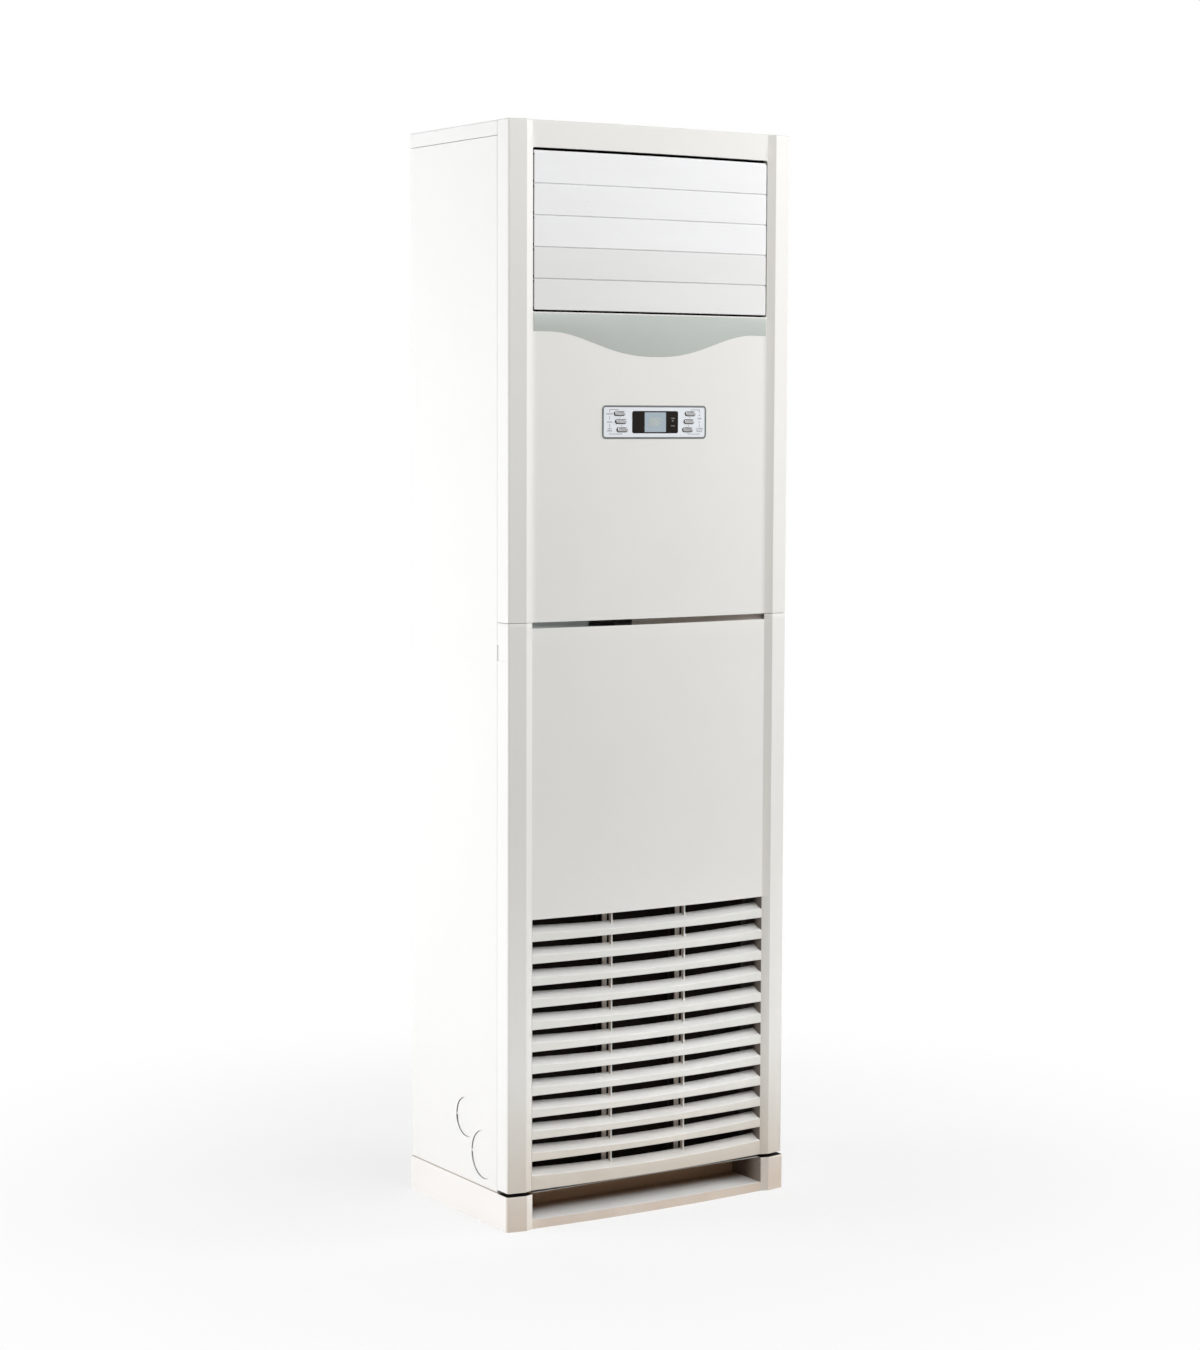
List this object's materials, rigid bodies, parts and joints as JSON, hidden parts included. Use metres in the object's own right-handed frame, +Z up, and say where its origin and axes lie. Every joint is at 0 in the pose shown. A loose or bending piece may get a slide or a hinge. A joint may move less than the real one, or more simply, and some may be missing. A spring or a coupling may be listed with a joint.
{
  "type": "floor standing air conditioner",
  "caption": "Tall white floor standing air conditioner with closing louvre blades, a control panel and a bowed intake grille.",
  "frame": {"origin": "on the floor, at the middle of the footprint", "axes": "+Z up, -Y out of the front, +X to the right of someone who faces the front"},
  "size_m": [0.569, 0.3468, 1.85],
  "materials": {
    "shell_plastic": "semi-gloss warm white",
    "side_steel": "semi-gloss white paint",
    "plinth_plastic": "semi-gloss warm white",
    "louvre_plastic": "semi-gloss warm white",
    "dark_liner": "matt black",
    "filter_mesh": "matt black",
    "silver_trim": "satin silver paint",
    "zinc_sheet": "dull galvanised",
    "graphite_bezel": "satin",
    "panel_face": "satin silver blue",
    "window_black": "gloss black",
    "screen": "pale grey display glass",
    "chrome": "polished chrome"
  },
  "bodies": {
    "cabinet": {"base_plinth": "plinth_plastic", "side_panel_left": "side_steel", "side_panel_right": "side_steel", "back_panel": "side_steel", "top_cover": "side_steel", "bottom_pan": "zinc_sheet", "divider_rail": "zinc_sheet", "upper_front_panel": "shell_plastic", "lower_front_panel": "shell_plastic", "intake_grille": "shell_plastic", "filter_frame": "dark_liner", "filter_mesh": "filter_mesh", "outlet_duct": "dark_liner", "air_guide_vanes": "dark_liner", "wave_trim": "silver_trim", "control_bezel": "graphite_bezel", "control_face": "panel_face", "display_window": "window_black", "lcd_screen": "screen"},
    "louver_1": {"outlet_louver_1": "louvre_plastic"},
    "louver_2": {"outlet_louver_2": "louvre_plastic"},
    "louver_3": {"outlet_louver_3": "louvre_plastic"},
    "louver_4": {"outlet_louver_4": "louvre_plastic"},
    "louver_5": {"outlet_louver_5": "louvre_plastic"},
    "key_left_1": {"button_left_1": "chrome"},
    "key_left_2": {"button_left_2": "chrome"},
    "key_left_3": {"button_left_3": "chrome"},
    "key_right_1": {"button_right_1": "chrome"},
    "key_right_2": {"button_right_2": "chrome"},
    "key_right_3": {"button_right_3": "chrome"}
  },
  "joints": [
    {"name": "louver_1_hinge", "type": "hinge", "parent": "cabinet", "child": "louver_1", "pos_m": [0, -0.1499, 1.77297], "axis": [-1, 0, 0], "range_deg": [0, 85]},
    {"name": "louver_2_hinge", "type": "hinge", "parent": "cabinet", "child": "louver_2", "pos_m": [0, -0.1499, 1.72131], "axis": [-1, 0, 0], "range_deg": [0, 85]},
    {"name": "louver_3_hinge", "type": "hinge", "parent": "cabinet", "child": "louver_3", "pos_m": [0, -0.1499, 1.66965], "axis": [-1, 0, 0], "range_deg": [0, 85]},
    {"name": "louver_4_hinge", "type": "hinge", "parent": "cabinet", "child": "louver_4", "pos_m": [0, -0.1499, 1.61799], "axis": [-1, 0, 0], "range_deg": [0, 85]},
    {"name": "louver_5_hinge", "type": "hinge", "parent": "cabinet", "child": "louver_5", "pos_m": [0, -0.1499, 1.56633], "axis": [-1, 0, 0], "range_deg": [0, 85]},
    {"name": "key_left_1_press", "type": "slide", "parent": "cabinet", "child": "key_left_1", "axis": [0, 1, 0], "range_m": [0, 0.001], "stiffness_N_per_m": 200},
    {"name": "key_left_2_press", "type": "slide", "parent": "cabinet", "child": "key_left_2", "axis": [0, 1, 0], "range_m": [0, 0.001], "stiffness_N_per_m": 200},
    {"name": "key_left_3_press", "type": "slide", "parent": "cabinet", "child": "key_left_3", "axis": [0, 1, 0], "range_m": [0, 0.001], "stiffness_N_per_m": 200},
    {"name": "key_right_1_press", "type": "slide", "parent": "cabinet", "child": "key_right_1", "axis": [0, 1, 0], "range_m": [0, 0.001], "stiffness_N_per_m": 200},
    {"name": "key_right_2_press", "type": "slide", "parent": "cabinet", "child": "key_right_2", "axis": [0, 1, 0], "range_m": [0, 0.001], "stiffness_N_per_m": 200},
    {"name": "key_right_3_press", "type": "slide", "parent": "cabinet", "child": "key_right_3", "axis": [0, 1, 0], "range_m": [0, 0.001], "stiffness_N_per_m": 200}
  ],
  "couplings": [
    {"joint": "louver_2_hinge", "follows": "louver_1_hinge", "ratio": 1},
    {"joint": "louver_3_hinge", "follows": "louver_1_hinge", "ratio": 1},
    {"joint": "louver_4_hinge", "follows": "louver_1_hinge", "ratio": 1},
    {"joint": "louver_5_hinge", "follows": "louver_1_hinge", "ratio": 1}
  ]
}
